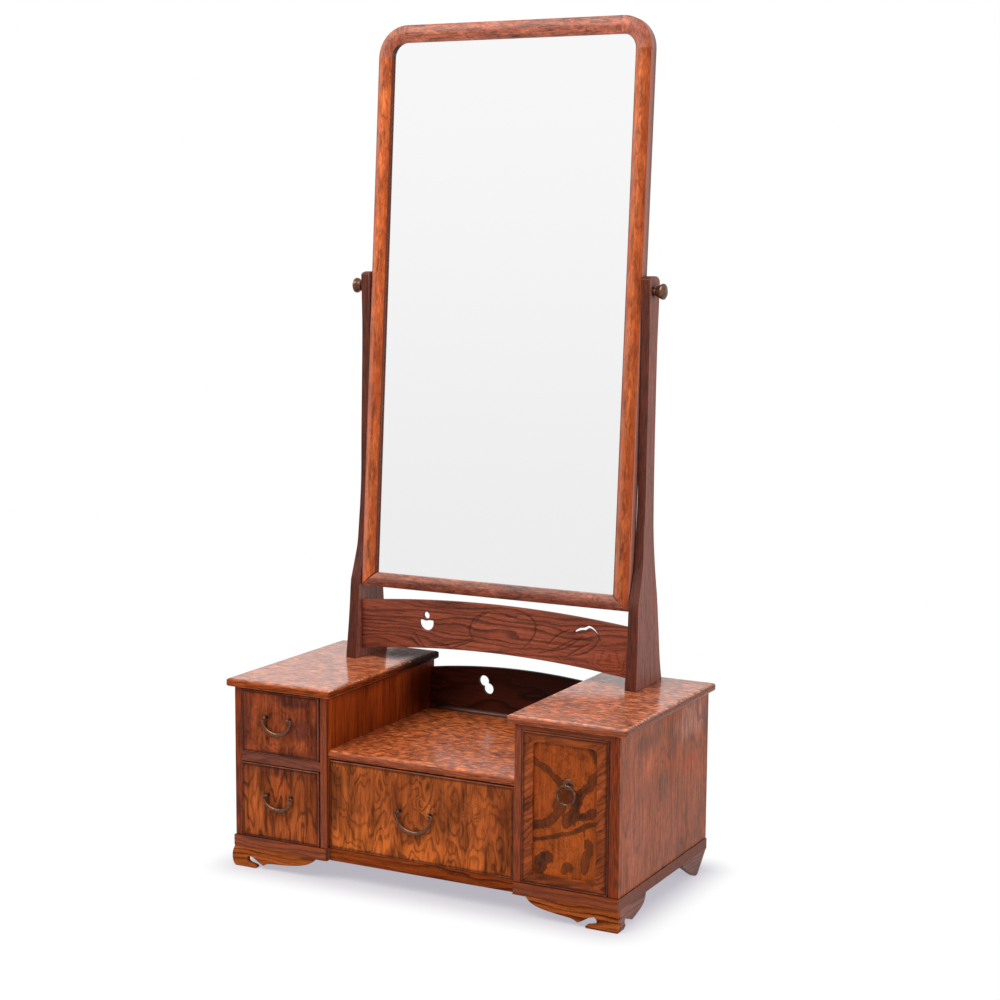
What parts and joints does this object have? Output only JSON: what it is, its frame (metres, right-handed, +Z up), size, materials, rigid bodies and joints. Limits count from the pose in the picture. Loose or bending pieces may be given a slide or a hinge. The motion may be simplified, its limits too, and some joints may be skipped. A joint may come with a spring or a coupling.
{
  "type": "dressing table mirror",
  "caption": "Low wooden dressing chest with drawers and a small cupboard, and a tall framed mirror that tilts between two uprights over a pierced rail.",
  "frame": {"origin": "on the floor under the middle of the chest", "axes": "X to the right, Y to the back, Z up"},
  "size_m": [0.6, 0.303, 1.1567],
  "materials": {
    "case_wood": "red-brown lacquer over strong grain",
    "top_wood": "glossy lacquer over rippled figure",
    "front_wood": "lacquer over dark contour figure",
    "frame_wood": "glossy orange-brown lacquer",
    "bare_wood": "plain unlacquered wood",
    "mirror_glass": "silvered glass",
    "aged_bronze": "dark aged bronze"
  },
  "bodies": {
    "root": {"left_top": "top_wood", "right_top": "top_wood", "centre_top": "top_wood", "left_outer_side": "case_wood", "left_inner_side": "case_wood", "right_inner_side": "case_wood", "right_outer_side": "case_wood", "left_back": "case_wood", "centre_back": "case_wood", "right_back": "case_wood", "bottom_board": "case_wood", "left_divider": "case_wood", "plinth_bands": "case_wood", "left_front_bracket": "case_wood", "right_front_bracket": "case_wood", "left_side_brackets": "case_wood", "right_side_brackets": "case_wood", "gallery_board": "case_wood", "gallery_bead": "case_wood", "left_upright": "case_wood", "right_upright": "case_wood", "carved_rail": "case_wood", "case_rail": "case_wood", "door_stop": "case_wood"},
    "mirror": {"mirror_left_stile": "frame_wood", "mirror_right_stile": "frame_wood", "mirror_top_rail": "frame_wood", "mirror_bottom_rail": "frame_wood", "mirror_corners": "frame_wood", "mirror_glass": "mirror_glass", "mirror_backboard": "bare_wood", "pivot_bushes": "aged_bronze"},
    "left_knob": {"left_knob": "aged_bronze"},
    "right_knob": {"right_knob": "aged_bronze"},
    "upper_drawer": {"upper_drawer_front": "front_wood", "upper_drawer_sides": "bare_wood", "upper_drawer_back": "bare_wood", "upper_drawer_bottom": "bare_wood", "upper_drawer_posts": "aged_bronze"},
    "upper_bail": {"upper_drawer_bail": "aged_bronze"},
    "lower_drawer": {"lower_drawer_front": "front_wood", "lower_drawer_sides": "bare_wood", "lower_drawer_back": "bare_wood", "lower_drawer_bottom": "bare_wood", "lower_drawer_posts": "aged_bronze"},
    "lower_bail": {"lower_drawer_bail": "aged_bronze"},
    "centre_drawer": {"centre_drawer_front": "front_wood", "centre_drawer_sides": "bare_wood", "centre_drawer_back": "bare_wood", "centre_drawer_bottom": "bare_wood", "centre_drawer_posts": "aged_bronze"},
    "centre_bail": {"centre_drawer_bail": "aged_bronze"},
    "door": {"door_stiles": "front_wood", "door_rails": "front_wood", "door_panel": "front_wood", "door_pins": "aged_bronze", "door_pull": "aged_bronze"},
    "ring": {"door_ring": "aged_bronze"}
  },
  "joints": [
    {"name": "mirror_tilt", "type": "hinge", "parent": "root", "child": "mirror", "pos_m": [0, 0.0925, 0.795], "axis": [1, 0, 0], "range_deg": [-30, 30]},
    {"name": "left_knob_turn", "type": "hinge", "parent": "root", "child": "left_knob", "pos_m": [-0.23, 0.0925, 0.795], "axis": [-1, 0, 0], "range_deg": [0, 180]},
    {"name": "right_knob_turn", "type": "hinge", "parent": "root", "child": "right_knob", "pos_m": [0.23, 0.0925, 0.795], "axis": [1, 0, 0], "range_deg": [0, 180]},
    {"name": "upper_drawer_slide", "type": "slide", "parent": "root", "child": "upper_drawer", "axis": [0, -1, 0], "range_m": [0, 0.2]},
    {"name": "upper_bail_swing", "type": "hinge", "parent": "upper_drawer", "child": "upper_bail", "pos_m": [-0.2192, -0.1484, 0.2147], "axis": [-1, 0, 0], "range_deg": [0, 95]},
    {"name": "lower_drawer_slide", "type": "slide", "parent": "root", "child": "lower_drawer", "axis": [0, -1, 0], "range_m": [0, 0.2]},
    {"name": "lower_bail_swing", "type": "hinge", "parent": "lower_drawer", "child": "lower_bail", "pos_m": [-0.2177, -0.1484, 0.1062], "axis": [-1, 0, 0], "range_deg": [0, 95]},
    {"name": "centre_drawer_slide", "type": "slide", "parent": "root", "child": "centre_drawer", "axis": [0, -1, 0], "range_m": [0, 0.2]},
    {"name": "centre_bail_swing", "type": "hinge", "parent": "centre_drawer", "child": "centre_bail", "pos_m": [-0.00845, -0.1424, 0.1112], "axis": [-1, 0, 0], "range_deg": [0, 95]},
    {"name": "door_swing", "type": "hinge", "parent": "root", "child": "door", "pos_m": [0.2661, -0.1375, 0.145], "axis": [0, 0, 1], "range_deg": [0, 100]},
    {"name": "ring_swing", "type": "hinge", "parent": "door", "child": "ring", "pos_m": [0.2167, -0.1484, 0.1812], "axis": [-1, 0, 0], "range_deg": [0, 90]}
  ]
}
